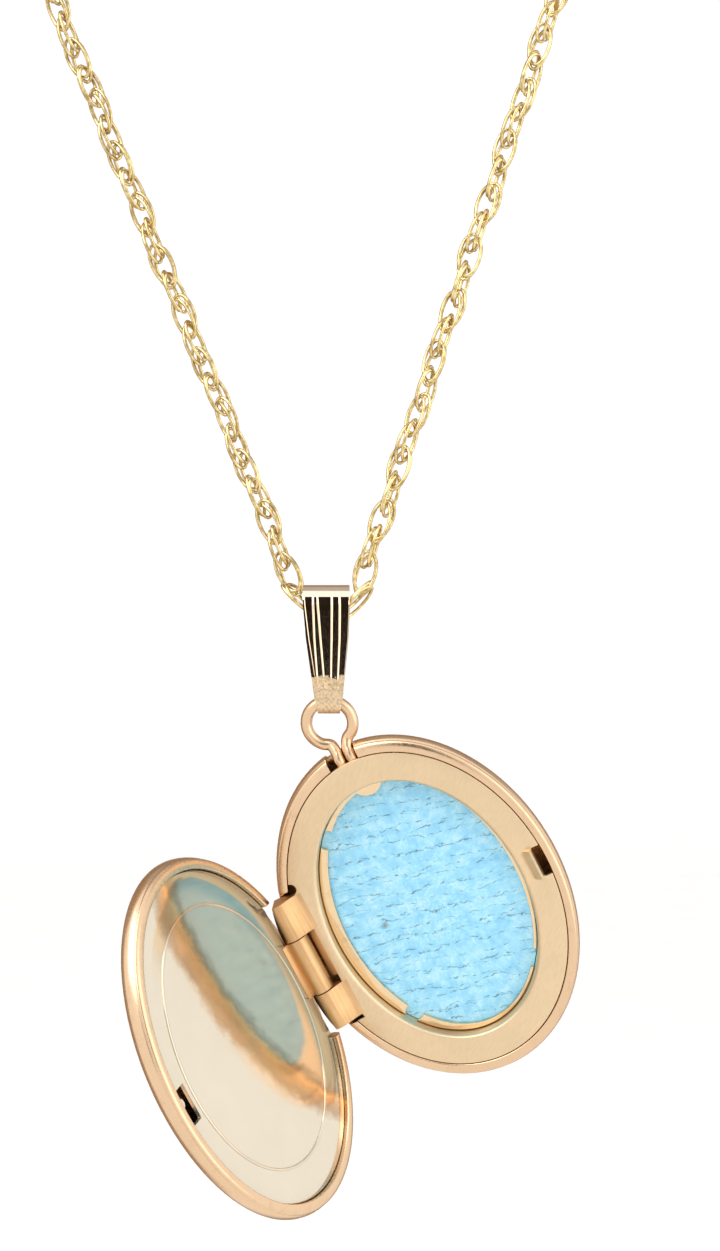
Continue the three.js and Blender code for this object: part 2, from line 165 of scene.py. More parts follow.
class Nodes:
    """The node tree of a material or a world, with short calls for the nodes used here."""

    def __init__(self, owner):
        self.material = owner
        owner.use_nodes = True
        self.tree = owner.node_tree
        self.shader = self.tree.nodes.get("Principled BSDF")

    def add(self, kind, **values):
        made = self.tree.nodes.new(kind)
        for key, value in values.items():
            setattr(made, key, value)
        return made

    def link(self, source, target):
        self.tree.links.new(source, target)

    def fill(self, pairs):
        """Sets each socket to its number or colour, or links the output given for it."""
        for socket, value in pairs:
            if isinstance(value, tuple):
                socket.default_value = (*value, 1)
            elif isinstance(value, (int, float)):
                socket.default_value = value
            else:
                self.link(value, socket)

    def split(self, vector):
        made = self.add("ShaderNodeSeparateXYZ")
        self.link(vector, made.inputs["Vector"])
        return made.outputs

    def coordinates(self, place=HERE):
        """Millimetres in the given frame."""
        source = self.add("ShaderNodeTexCoord")
        mapping = self.add("ShaderNodeMapping")
        back = place.inverted()
        mapping.inputs["Scale"].default_value = (1 / MM,) * 3
        mapping.inputs["Rotation"].default_value = back.to_euler()
        mapping.inputs["Location"].default_value = back.translation / MM
        self.link(source.outputs["Object"], mapping.inputs["Vector"])
        return mapping.outputs["Vector"]

    def stretch(self, vector, scale, turn=0.0):
        """The coordinates turned in their own plane, then scaled by different amounts."""
        turned = self.add("ShaderNodeMapping")
        turned.inputs["Rotation"].default_value = (0, 0, math.radians(turn))
        self.link(vector, turned.inputs["Vector"])
        scaled = self.add("ShaderNodeMapping")
        scaled.inputs["Scale"].default_value = scale
        self.link(turned.outputs["Vector"], scaled.inputs["Vector"])
        return scaled.outputs["Vector"]

    def noise(self, vector, scale, detail=4.0, roughness=0.55):
        made = self.add("ShaderNodeTexNoise")
        made.inputs["Scale"].default_value = scale
        made.inputs["Detail"].default_value = detail
        made.inputs["Roughness"].default_value = roughness
        self.link(vector, made.inputs["Vector"])
        return made.outputs["Fac"]

    def ramp(self, source, stops):
        made = self.add("ShaderNodeValToRGB")
        elements = made.color_ramp.elements
        for place, color in stops[2:]:
            elements.new(place)
        for element, (place, color) in zip(elements, sorted(stops, key=lambda stop: stop[0])):
            element.position = place
            value = color if isinstance(color, tuple) else (color,) * 3
            element.color = (*value, 1)
        self.link(source, made.inputs["Fac"])
        return made.outputs["Color"]

    def math(self, operation, first, second=0.0):
        made = self.add("ShaderNodeMath", operation=operation)
        self.fill(zip(made.inputs, (first, second)))
        return made.outputs[0]

    def plus(self, first, second):
        return self.math("ADD", first, second)

    def times(self, first, second):
        return self.math("MULTIPLY", first, second)

    def mix(self, factor, first, second):
        made = self.add("ShaderNodeMix", data_type="RGBA")
        self.fill(((made.inputs[0], factor), (made.inputs[6], first), (made.inputs[7], second)))
        return made.outputs[2]

    def bump(self, height, strength, distance, normal=None):
        made = self.add("ShaderNodeBump")
        made.inputs["Strength"].default_value = strength
        made.inputs["Distance"].default_value = distance
        self.link(height, made.inputs["Height"])
        if normal is not None:
            self.link(normal, made.inputs["Normal"])
        return made.outputs["Normal"]

    def finish(self, color, roughness=None, normal=None, metallic=1.0):
        self.shader.inputs["Metallic"].default_value = metallic
        self.link(color, self.shader.inputs["Base Color"])
        if roughness is not None:
            self.link(roughness, self.shader.inputs["Roughness"])
        if normal is not None:
            self.link(normal, self.shader.inputs["Normal"])
        return self.material


# ---- Materials


def new_material(name, frame_of=HERE):
    """The nodes of a new material, and its coordinates in a frame."""
    nodes = Nodes(bpy.data.materials.new(name))
    return nodes, nodes.coordinates(frame_of)


def shade(color, factor):
    return tuple(min(1.0, channel * factor) for channel in color)


def polished_gold(name, color, low, high, warm):
    """Polished plate: a faint cloud of colour, fine handling scratches, and a soft waviness."""
    nodes, place = new_material(name)
    cloud = nodes.noise(place, 0.35, 3)
    tone = nodes.ramp(cloud, [(0.3, shade(color, 0.97)), (0.7, shade(color, 1.03))])
    stain = nodes.noise(place, 1.6, 5, 0.6)
    tone = nodes.mix(nodes.ramp(stain, [(0.55, 0.0), (0.85, 0.35)]), tone, warm)
    scratches = nodes.noise(nodes.stretch(place, (0.3, 6.0, 1.5), 35), 1.0, 2, 0.5)
    roughness = nodes.ramp(nodes.noise(place, 5.0, 6, 0.65), [(0.3, low), (0.75, high)])
    ripple = nodes.noise(place, 0.9, 2, 0.4)
    normal = nodes.bump(ripple, 0.12, 0.00004)
    normal = nodes.bump(scratches, 0.05, 0.000004, normal)
    return nodes.finish(tone, roughness, normal)


def painted_reflection_band(nodes, place):
    """How far across a bowed band of painted reflection on the plate a point lies, frayed by grain: 0 on
    its middle.
    """
    split = nodes.split(place)
    along = nodes.plus(split["Y"], -5.0)
    bow = nodes.times(nodes.times(along, along), 0.034)
    across = nodes.plus(nodes.plus(split["X"], bow), -0.9)
    broad = nodes.times(nodes.plus(nodes.noise(place, 0.8, 3), -0.5), 1.3)
    grain = nodes.times(nodes.plus(nodes.noise(place, 6.0, 5, 0.75), -0.5), 0.8)
    return nodes.plus(across, nodes.plus(broad, grain))


def oval_share(nodes, place):
    """How far out a point of the plate lies: 0 in the middle, 1 on an oval near its edge."""
    split = nodes.split(place)
    squares = []
    for axis, half in (("X", 5.5), ("Y", 9.0)):
        share = nodes.times(split[axis], 1 / half)
        squares.append(nodes.times(share, share))
    return nodes.math("POWER", nodes.plus(*squares), 0.5)


def mirror_plate():
    """The front liner: bright plate, with a painted warm reflection towards the hinge and a painted grey
    reflection at that edge, and a painted brown and orange reflection band across it."""
    nodes, place = new_material("plate_gold", LID)
    cloud = nodes.noise(place, 0.35, 3)
    tone = nodes.ramp(cloud, [(0.3, (0.73, 0.655, 0.53)), (0.7, (0.76, 0.68, 0.55))])
    # A painted brown and orange reflection band across the plate, frayed at its edges.
    across = painted_reflection_band(nodes, place)
    off = nodes.times(nodes.math("ABSOLUTE", across), 0.5)
    mask = nodes.ramp(off, [(0.36, 0.92), (0.66, 0.0)])
    level = nodes.plus(nodes.times(across, 0.5), 0.5)
    # Painted warm reflection on the hinge side of the band.
    tone = nodes.mix(nodes.ramp(level, [(0.05, 0.8), (0.3, 0.0)]), tone, (0.76, 0.54, 0.36))
    # Painted grey reflection along the plate's edge on the hinge side.
    edge = nodes.ramp(oval_share(nodes, place), [(0.88, 0.0), (0.97, 0.85)])
    inside = nodes.ramp(level, [(0.0, 1.0), (0.2, 0.0)])
    tone = nodes.mix(nodes.times(edge, inside), tone, (0.42, 0.43, 0.35))
    # The colours of the painted reflection band, laid over the plate.
    band_reflection_tone = nodes.ramp(level, [(0.1, (0.40, 0.30, 0.20)), (0.32, (0.86, 0.50, 0.22)),
                               (0.5, (0.70, 0.42, 0.21)), (0.8, (0.52, 0.36, 0.22))])
    tone = nodes.mix(mask, tone, band_reflection_tone)
    fine = nodes.noise(place, 5.0, 6, 0.65)
    roughness = nodes.ramp(fine, [(0.3, 0.08), (0.75, 0.15)])
    normal = nodes.bump(nodes.noise(place, 0.9, 2, 0.4), 0.12, 0.00004)
    normal = nodes.bump(fine, 0.06, 0.000004, normal)
    return nodes.finish(tone, roughness, normal, metallic=0.78)


def satin_gold():
    """The back liner: brushed plate with short fine strokes and a slightly deeper tone in them."""
    nodes, place = new_material("satin_gold", CASE)
    strokes = nodes.noise(nodes.stretch(place, (12.0, 2.0, 3.0), 52), 1.0, 3, 0.6)
    cloud = nodes.noise(place, 0.3, 3)
    tone = nodes.ramp(cloud, [(0.3, (0.80, 0.62, 0.40)), (0.7, (0.87, 0.67, 0.435))])
    streak = nodes.ramp(strokes, [(0.35, 0.16), (0.6, 0.0)])
    tone = nodes.mix(streak, tone, (0.62, 0.45, 0.27))
    roughness = nodes.ramp(strokes, [(0.3, 0.5), (0.7, 0.4)])
    normal = nodes.bump(strokes, 0.25, 0.000006)
    return nodes.finish(tone, roughness, normal)


def knuckle_gold():
    """The rolled knuckles: deeper gold with fine drawing lines that run along the hinge."""
    nodes, place = new_material("knuckle_gold", CASE)
    lines = nodes.noise(nodes.stretch(place, (7.0, 0.12, 7.0)), 1.0, 4, 0.7)
    cloud = nodes.noise(place, 0.9, 4)
    tone = nodes.ramp(cloud, [(0.3, (0.71, 0.44, 0.21)), (0.7, (0.81, 0.51, 0.26))])
    tone = nodes.mix(nodes.ramp(lines, [(0.36, 0.6), (0.48, 0.0)]), tone, (0.50, 0.32, 0.15))
    roughness = nodes.ramp(lines, [(0.3, 0.5), (0.7, 0.38)])
    return nodes.finish(tone, roughness, nodes.bump(lines, 0.3, 0.00001))


def chain_gold():
    """Drawn wire, polished in a barrel: rich yellow, lighter and deeper in random patches."""
    nodes, place = new_material("chain_gold")
    patches = nodes.noise(place, 2.2, 4, 0.65)
    tone = nodes.ramp(patches, [(0.38, (0.52, 0.38, 0.15)), (0.58, (0.86, 0.70, 0.37))])
    roughness = nodes.ramp(nodes.noise(place, 9.0, 5, 0.6), [(0.3, 0.1), (0.75, 0.24)])
    normal = nodes.bump(nodes.noise(place, 6.0, 3), 0.12, 0.00001)
    return nodes.finish(tone, roughness, normal)


BAIL_SATIN_Z = -47.7


def bail_gold():
    """The bail: mirror bright above, and rubbed to a satin where the fold closes on the loop."""
    nodes, place = new_material("bail_gold")
    split = nodes.split(place)
    edge = nodes.plus(split["Z"], nodes.noise(place, 1.8, 3))
    low = nodes.ramp(nodes.times(nodes.plus(edge, -BAIL_SATIN_Z), 0.5), [(0.42, 1.0), (0.5, 0.0)])
    fine = nodes.noise(place, 8.0, 5, 0.65)
    bright = nodes.ramp(fine, [(0.3, (0.93, 0.80, 0.62)), (0.7, (0.97, 0.86, 0.70))])
    rubbed = nodes.ramp(fine, [(0.34, (0.58, 0.42, 0.25)), (0.56, (0.90, 0.70, 0.46))])
    tone = nodes.mix(low, bright, rubbed)
    shine = nodes.ramp(fine, [(0.3, 0.05), (0.75, 0.1)])
    satin = nodes.ramp(fine, [(0.3, 0.34), (0.75, 0.46)])
    roughness = nodes.mix(low, shine, satin)
    normal = nodes.bump(nodes.times(fine, low), 0.6, 0.00003)
    return nodes.finish(tone, roughness, normal)


def spring_steel():
    nodes, place = new_material("spring_steel")
    grain = nodes.noise(nodes.stretch(place, (4.0, 4.0, 0.4)), 1.0, 3)
    tone = nodes.ramp(nodes.noise(place, 2.0, 3), [(0.3, (0.45, 0.44, 0.42)), (0.7, (0.6, 0.59, 0.56))])
    roughness = nodes.ramp(grain, [(0.3, 0.22), (0.7, 0.38)])
    return nodes.finish(tone, roughness, nodes.bump(grain, 0.15, 0.000006))


def crease_lines(nodes, place, spacing, width, seed, waver):
    """Thin broken lines along the paper's X: 1 in a crease and 0 elsewhere."""
    split = nodes.split(place)
    shifted = nodes.add("ShaderNodeVectorMath", operation="ADD")
    shifted.inputs[1].default_value = (seed, seed * 0.7, 0)
    nodes.link(place, shifted.inputs[0])
    wander = nodes.noise(shifted.outputs[0], 0.55, 5, 0.62)
    level = nodes.plus(nodes.times(split["Y"], 1 / spacing), nodes.times(wander, waver))
    fraction = nodes.math("ABSOLUTE", nodes.math("SUBTRACT", nodes.math("FRACT", level), 0.5))
    line = nodes.ramp(fraction, [(0.0, 1.0), (width, 0.0)])
    dashes = nodes.noise(shifted.outputs[0], 2.1, 4, 0.75)
    broken = nodes.ramp(dashes, [(0.47, 0.0), (0.57, 1.0)])
    return nodes.times(line, broken)


PAPER_GRAIN_TURN = 12.0
PAPER_SPOT = (-2.65, -0.09, -1.03)


def paper_spot(nodes, place):
    """A small tan fleck on the paper, soft and uneven at its edge."""
    shifted = nodes.add("ShaderNodeVectorMath", operation="DISTANCE")
    shifted.inputs[1].default_value = PAPER_SPOT
    nodes.link(place, shifted.inputs[0])
    ragged = nodes.plus(shifted.outputs["Value"], nodes.times(nodes.noise(place, 3.0), 0.4))
    return nodes.ramp(ragged, [(0.24, 0.75), (0.46, 0.0)])


def blue_paper():
    """Pale blue grained paper: mottled, with broken creases that climb slightly to the right."""
    nodes, place = new_material("blue_paper", CASE)
    grain_place = nodes.stretch(place, (1.0, 1.0, 1.0), PAPER_GRAIN_TURN)
    mottle = nodes.noise(place, 1.7, 6, 0.62)
    tone = nodes.ramp(mottle, [(0.3, (0.24, 0.59, 0.86)), (0.5, (0.36, 0.74, 0.94)),
                               (0.72, (0.57, 0.87, 0.99))])
    fine = nodes.noise(place, 7.0, 5, 0.7)
    tone = nodes.mix(nodes.ramp(fine, [(0.35, 0.4), (0.6, 0.0)]), tone, (0.20, 0.52, 0.80))
    creases = nodes.math("MAXIMUM", crease_lines(nodes, grain_place, 1.15, 0.045, 3.1, 1.5),
                         crease_lines(nodes, grain_place, 0.7, 0.05, 11.7, 1.9))
    # Painted shade in the creases: their lines are darkened in colour as well as sunk in the bump.
    tone = nodes.mix(nodes.times(creases, 0.85), tone, (0.04, 0.10, 0.17))
    tone = nodes.mix(paper_spot(nodes, place), tone, (0.20, 0.17, 0.10))
    height = nodes.math("SUBTRACT", nodes.times(fine, 0.4), creases)
    normal = nodes.bump(height, 0.5, 0.00003)
    roughness = nodes.ramp(fine, [(0.3, 0.7), (0.7, 0.85)])
    return nodes.finish(tone, roughness, normal, metallic=0.0)


def floor_white():
    nodes, place = new_material("floor_white")
    speck = nodes.noise(place, 0.07, 4)
    tone = nodes.ramp(speck, [(0.3, 0.98), (0.7, 1.0)])
    nodes.shader.inputs["Roughness"].default_value = 0.9
    return nodes.finish(tone, metallic=0.0)


def flag_black():
    nodes, place = new_material("flag_black")
    weave = nodes.noise(place, 0.15)
    tone = nodes.ramp(weave, [(0.3, (0.012, 0.008, 0.006)), (0.7, (0.024, 0.017, 0.013))])
    nodes.shader.inputs["Roughness"].default_value = 0.9
    nodes.shader.inputs["Specular IOR Level"].default_value = 0.0
    return nodes.finish(tone, metallic=0.0)


def make_materials():
    shell_tone, shell_warm = (0.79, 0.56, 0.36), (0.50, 0.28, 0.13)
    return {
        "shell": polished_gold("shell_gold", shell_tone, 0.2, 0.32, shell_warm),
        "plate": mirror_plate(),
        "ring": polished_gold("ring_gold", (0.86, 0.65, 0.40), 0.2, 0.28, shell_warm),
        "satin": satin_gold(),
        "knuckle": knuckle_gold(),
        "chain": chain_gold(),
        "bail": bail_gold(),
        "steel": spring_steel(),
        "paper": blue_paper(),
        "floor": floor_white(),
        "flag": flag_black(),
    }


MATERIAL = make_materials()


# ---- World


def add_world():
    """A white light tent: grey above at the back, and brown behind on the left and at the back."""
    world = bpy.data.worlds.new("tent")
    bpy.context.scene.world = world
    nodes = Nodes(world)
    split = nodes.split(nodes.add("ShaderNodeTexCoord").outputs["Generated"])
    height = nodes.plus(nodes.times(split["Z"], 0.5), 0.5)
    tent = nodes.ramp(height, [(0.0, (0.92, 0.90, 0.87)), (1.0, (1.0, 1.0, 1.0))])
    behind = nodes.ramp(split["Y"], [(0.04, 0.0), (0.12, 1.0)])
    above = nodes.ramp(split["Z"], [(0.4, 0.0), (0.6, 0.9)])
    color = nodes.mix(nodes.times(behind, above), tent, (0.36, 0.33, 0.33))
    leftward = nodes.ramp(nodes.times(split["X"], -1.0), [(0.2, 0.0), (0.45, 0.85)])
    color = nodes.mix(nodes.times(behind, leftward), color, (0.34, 0.23, 0.14))
    back = nodes.ramp(split["Y"], [(0.52, 0.0), (0.76, 0.88)])
    color = nodes.mix(back, color, (0.28, 0.18, 0.11))
    background = nodes.tree.nodes["Background"]
    background.inputs["Strength"].default_value = 1.2
    nodes.link(color, background.inputs["Color"])


# ---- Mesh helpers


def new_object(name, points, faces, place=HERE):
    """A mesh in metres from points in millimetres in the given frame."""
    mesh = bpy.data.meshes.new(name)
    mesh.from_pydata([place @ (Vector(point) * MM) for point in points], [], faces)
    mesh.validate()
    made = add_item(name, mesh)
    tidy_mesh(mesh)
    return made


def tidy_mesh(mesh):
    shape = bmesh.new()
    shape.from_mesh(mesh)
    bmesh.ops.remove_doubles(shape, verts=shape.verts, dist=1e-8)
    bmesh.ops.recalc_face_normals(shape, faces=shape.faces)
    shape.to_mesh(mesh)
    shape.free()


def smooth(item, angle=38):
    for face in item.data.polygons:
        face.use_smooth = True
    item.data.set_sharp_from_angle(angle=math.radians(angle))


def dress(item, material, slot, body, *replaced, angle=38):
    item.data.materials.clear()
    item.data.materials.append(MATERIAL[material])
    smooth(item, angle)
    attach(item, body)
    if replaced:
        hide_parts(*replaced)
    return item


def apply_modifiers(item):
    bpy.context.view_layer.update()
    graph = bpy.context.evaluated_depsgraph_get()
    mesh = bpy.data.meshes.new_from_object(item.evaluated_get(graph))
    item.modifiers.clear()
    item.data = mesh
    return item


def combine(item, tool, operation):
    """Cuts, joins or trims item with a tool, which is used up."""
    modifier = item.modifiers.new("combine", "BOOLEAN")
    modifier.object = tool
    modifier.operation = operation
    modifier.solver = "EXACT"
    apply_modifiers(item)
    bpy.data.objects.remove(tool)
    return item


def cut(item, *tools):
    for tool in tools:
        combine(item, tool, "DIFFERENCE")
    return item


def soften(item, width, segments=2, angle=35):
    """Rounds the edges sharper than the angle."""
    modifier = item.modifiers.new("soften", "BEVEL")
    modifier.width = width * MM
    modifier.segments = segments
    modifier.limit_method = "ANGLE"
    modifier.angle_limit = math.radians(angle)
    return apply_modifiers(item)


def oval_surface(name, rings, place, segments=SEGMENTS):
    """Rings of (across, along, depth), joined in a closed loop; a ring of no size is a pole."""
    points, rows = [], []
    for across, along, depth in rings:
        if across < 1e-6:
            rows.append([len(points)] * segments)
            points.append((0, 0, depth))
            continue
        rows.append([len(points) + step for step in range(segments)])
        points += [(x, y, depth) for x, y in oval_outline(across, along, segments)]
    faces = []
    for low, high in zip(rows, rows[1:] + rows[:1]):
        for step in range(segments):
            after = (step + 1) % segments
            corners = list(dict.fromkeys([low[step], low[after], high[after], high[step]]))
            if len(corners) > 2:
                faces.append(corners)
    return new_object(name, points, faces, place)


def prism(name, outline, low, high, place, axis="Z"):
    """A closed outline extruded along one axis of the frame."""
    count = len(outline)
    points = []
    for level in (low, high):
        for a, b in outline:
            points.append((a, b, level) if axis == "Z" else (a, level, b))
    faces = [list(range(count)), list(range(2 * count - 1, count - 1, -1))]
    for step in range(count):
        after = (step + 1) % count
        faces.append([step, after, after + count, step + count])
    return new_object(name, points, faces, place)


def oval_outline(across, along, steps=240):
    turns = [2 * math.pi * step / steps for step in range(steps)]
    return [(across * math.cos(turn), along * math.sin(turn)) for turn in turns]


def circle_outline(x, y, radius, steps=40):
    return [(x + a, y + b) for a, b in oval_outline(radius, radius, steps)]


def rounded_box(x0, x1, y0, y1, corner, steps=6):
    outline = []
    corners = [(x1 - corner, y1 - corner, 0), (x0 + corner, y1 - corner, 90),
               (x0 + corner, y0 + corner, 180), (x1 - corner, y0 + corner, 270)]
    for x, y, start in corners:
        for step in range(steps + 1):
            turn = math.radians(start + 90 * step / steps)
            outline.append((x + corner * math.cos(turn), y + corner * math.sin(turn)))
    return outline


def sweep(points, section, closed=False):
    """Vertices and faces of a section carried along points without turning about its path."""
    count = len(points)
    points = [Vector(point) for point in points]
    tangents = []
    for step in range(count):
        before = points[(step - 1) % count] if closed or step else points[step]
        after = points[(step + 1) % count] if closed or step < count - 1 else points[step]
        tangents.append((after - before).normalized())
    side = tangents[0].orthogonal().normalized()
    verts, faces = [], []
    size = len(section)
    for step, (point, tangent) in enumerate(zip(points, tangents)):
        side = (side - tangent * side.dot(tangent)).normalized()
        over = tangent.cross(side)
        for a, b in section:
            verts.append(point + side * a + over * b)
        if step:
            faces += ring_faces((step - 1) * size, step * size, size)
    if closed:
        faces += ring_faces((count - 1) * size, 0, size)
    else:
        faces.append(list(range(size))[::-1])
        faces.append([(count - 1) * size + step for step in range(size)])
    return verts, faces


def ring_faces(first, second, size):
    return [[first + step, first + (step + 1) % size, second + (step + 1) % size, second + step]
            for step in range(size)]


def wire(name, points, radius, sides, closed=False, place=HERE):
    """Round wire along points, as an object."""
    verts, faces = sweep(points, oval_outline(radius, radius, sides), closed)
    return new_object(name, verts, faces, place)


def catmull(points, per_span=10):
    """A smooth curve through the points, with evenly shared steps in each span."""
    points = [Vector(point) for point in points]
    padded = [2 * points[0] - points[1], *points, 2 * points[-1] - points[-2]]
    curve = []
    for a, b, c, d in zip(padded, padded[1:], padded[2:], padded[3:]):
        for step in range(per_span):
            t = step / per_span
            curve.append(0.5 * (2 * b + (c - a) * t + (2 * a - 5 * b + 4 * c - d) * t ** 2
                                + (3 * b - a - 3 * c + d) * t ** 3))
    curve.append(points[-1])
    return curve


def quarter(a0, z0, a1, z1, steps):
    """A quarter of an ellipse from one corner to the other, leaving the first point level."""
    points = []
    for step in range(steps + 1):
        turn = math.pi / 2 * step / steps
        points.append((a0 + (a1 - a0) * math.sin(turn), z0 + (z1 - z0) * (1 - math.cos(turn))))
    return points


# ---- The chain


def strand_points(sign, run, coil_x):
    """Points of one side, from the bail's eye up to the coil, as in the CAD model."""
    points = [(sign * x, CHAIN_LOW_Z + rise) for x, rise in STRAND_FOOT]
    run_x, slope = run
    for step in range(8):
        z = RUN_LOW_Z + step / 7 * (RUN_TOP_Z - RUN_LOW_Z)
        points.append((sign * (run_x + (z - RUN_Z) * math.tan(math.radians(slope))), z))
    last_x = points[-1][0]
    points += [(last_x + (coil_x - last_x) * 0.62, -3.6),
               (coil_x - (coil_x - last_x) * 0.05, -1.5), (coil_x, 0.2)]
    return [(x, FRONT_Y, z) for x, z in points]


def coil_points(sign, coil_x, per_turn=24):
    """The turns round the bar, stepping inwards, over the top and up again at the front."""
    points = []
    for step in range(1, COIL_TURNS * per_turn + 1):
        share = step / per_turn
        angle = 2 * math.pi * share
        x = coil_x - sign * COIL_PITCH * share
        points.append((x, -COIL_RADIUS * math.cos(angle), COIL_RADIUS * math.sin(angle)))
    return points


def crossover_points(sign, coil_x, end_x):
    """From the last turn at the front, up and over to the clasp on top of the bar."""
    start_x = coil_x - sign * (COIL_TURNS * COIL_PITCH + CHAIN_DIAMETER + 0.35)
    points = []
    for step in range(1, 11):
        share = step / 10
        angle = math.radians(12 + 78 * share)
        x = start_x + (end_x - start_x) * share ** 1.25
        points.append((x, -COIL_RADIUS * math.cos(angle), COIL_RADIUS * math.sin(angle)))
    return points


def chain_route(sign, run, coil_x, end_x):
    route = [*strand_points(sign, run, coil_x), *coil_points(sign, coil_x),
             *crossover_points(sign, coil_x, end_x)]
    return catmull(route, 8)


def evenly(curve, pitch):
    """Points a pitch apart along a curve, and the curve's length."""
    made, travelled, wanted = [], 0.0, 0.0
    for start, end in zip(curve, curve[1:]):
        span = (end - start).length
        while wanted <= travelled + span:
            made.append(start.lerp(end, (wanted - travelled) / span))
            wanted += pitch
        travelled += span
    return made, travelled


LINK_PITCH = 1.45
LINK_LENGTH = 2.38
LINK_WIDTH = 1.27
LINK_WIRE = 0.092
LINK_STEPS = 26
LINK_SIDES = 8


def one_link():
    """One oval link in its own plane: long axis along X, width along Y."""
    half_length, half_width = LINK_LENGTH / 2 - LINK_WIRE, LINK_WIDTH / 2 - LINK_WIRE
    centre = [(x, y, 0) for x, y in oval_outline(half_length, half_width, LINK_STEPS)]
    return sweep(centre, oval_outline(LINK_WIRE, LINK_WIRE, LINK_SIDES), closed=True)


def add_chain(name, sign, run, coil_x, end_x, phase):
    """Pairs of oval links, each pair turned a quarter or so from the last, along the route."""
    route = chain_route(sign, run, coil_x, end_x)
    places, length = evenly(route, LINK_PITCH)
    link_points, link_faces = one_link()
    points, faces = [], []
    side = Vector((0, -1, 0))
    for index, place in enumerate(places[1:-1], 1):
        along = (places[index + 1] - places[index - 1]).normalized()
        side = (side - along * side.dot(along)).normalized()
        over = along.cross(side)
        basis = Matrix((along, side, over)).transposed()
        turn = math.radians(phase + 90 * index + 10 * math.sin(index * 0.55))
        for pair in (-1, 1):
            roll = turn + pair * math.radians(9) + math.radians(random.uniform(-4, 4))
            lean = math.radians(pair * 4 + random.uniform(-2, 2))
            turned = basis @ Matrix.Rotation(roll, 3, "X") @ Matrix.Rotation(lean, 3, "Z")
            shift = turned @ Vector((pair * 0.1 + random.uniform(-0.03, 0.03), 0, pair * 0.11))
            start = len(points)
            points += [place + shift + turned @ Vector(point) for point in link_points]
            faces += [[start + corner for corner in face] for face in link_faces]
    made = new_object(name, points, faces)
    return made, route, length


CLASP_RADIUS = 2.1
CLASP_Z = COIL_RADIUS + 0.1


def clasp_arc(start, end, steps):
    turns = [math.radians(start + (end - start) * step / steps) for step in range(steps + 1)]
    return [(CLASP_RADIUS * math.cos(turn), CLASP_RADIUS * math.sin(turn), CLASP_Z) for turn in turns]


def ring_wire(name, centre, radius, thick, axis):
    """A closed ring of round wire about an axis of the part."""
    offsets = [(a, b, 0) if axis == "Z" else (a, 0, b) for a, b in oval_outline(radius, radius, 40)]
    return wire(name, [Vector(centre) + Vector(offset) for offset in offsets], thick, 12, closed=True)


def dress_gold(item, body, *replaced):
    dress(item, "chain", "chain_gold", body, *replaced)


def add_clasp():
    body = wire("clasp_ring", clasp_arc(66, 378, 72), 0.53, 20)
    cut(body, wire("bore", clasp_arc(60, 203, 60), 0.35, 16))
    outline = []
    for radius, start, turned in ((1.9, 68, 52), (3.2, 120, -52)):
        for step in range(13):
            turn = math.radians(start + turned * step / 12)
            outline.append((radius * math.cos(turn), radius * math.sin(turn)))
    cut(body, prism("slot", outline, CLASP_Z - 0.15, CLASP_Z + 0.15, HERE))
    soften(body, 0.06)
    dress_gold(body, "chain", "clasp_body")
    eye = ring_wire("clasp_eye", (-CLASP_RADIUS - 0.97, 0, CLASP_Z), 0.5, 0.17, "Z")
    dress_gold(eye, "chain")
    bolt = wire("clasp_bolt_rod", clasp_arc(21, 78, 24), 0.3, 16)
    turn = math.radians(74)
    out = Vector((math.cos(turn), math.sin(turn), 0))
    foot = out * CLASP_RADIUS + Vector((0, 0, CLASP_Z))
    lengths = [(0.0, 0.11), (0.9, 0.11), (1.0, 0.15), (1.12, 0.16), (1.2, 0.1)]
    peg = turned_rod("clasp_peg", foot, out, lengths)
    combine(bolt, peg, "UNION")
    dress_gold(bolt, "bolt", "clasp_bolt")
    coil = []
    turns, steps = 14, 14 * 12
    for step in range(steps + 1):
        share = step / steps
        angle = math.radians(131 + 68 * share)
        wind = 2 * math.pi * turns * share
        radius = CLASP_RADIUS + 0.2 * math.cos(wind)
        coil.append((radius * math.cos(angle), radius * math.sin(angle), CLASP_Z + 0.2 * math.sin(wind)))
    spring = wire("clasp_spring_coil", coil, 0.06, 8)
    dress(spring, "steel", "spring_steel", "chain", "clasp_spring")
    jump = ring_wire("jump_ring", (-3.68, 0, CLASP_Z), 0.55, 0.16, "Y")
    dress_gold(jump, "chain", "clasp_jump_ring")
    end = ring_wire("end_ring", (2.2, 0, CLASP_Z), 0.85, 0.17, "Y")
    dress_gold(end, "chain", "chain_end_ring")
    return [body, eye, bolt, spring, jump], [end]


def turned_rod(name, foot, axis, lengths, sides=16, place=HERE):
    """A rod of (distance, radius) stations along an axis from its foot."""
    axis = axis.normalized()
    side = axis.orthogonal().normalized()
    over = axis.cross(side)
    points, faces = [], []
    for distance, radius in lengths:
        for a, b in oval_outline(radius, radius, sides):
            points.append(foot + axis * distance + side * a + over * b)
    for step in range(len(lengths) - 1):
        faces += ring_faces(step * sides, (step + 1) * sides, sides)
    faces.append(list(range(sides))[::-1])
    faces.append([(len(lengths) - 1) * sides + step for step in range(sides)])
    return new_object(name, points, faces, place)


def add_chains():
    left_pieces, right_pieces = add_clasp()
    sides = [
        ("left_chain", -1, LEFT_RUN, LEFT_COIL_X, LEFT_END_X, 55, left_pieces, "connector",
         ("chain_left_strand", "chain_left_coil", "chain_left_end")),
        ("right_chain", 1, RIGHT_RUN, RIGHT_COIL_X, RIGHT_END_X, 60, right_pieces, "fitting",
         ("chain_right_strand", "chain_right_coil", "chain_right_end")),
    ]
    for name, sign, run, coil_x, end_x, phase, pieces, end, nodes in sides:
        made, route, length = add_chain(name, sign, run, coil_x, end_x, phase)
        dress(made, "chain", "chain_gold", "chain", *nodes, angle=180)


# ---- The two shells


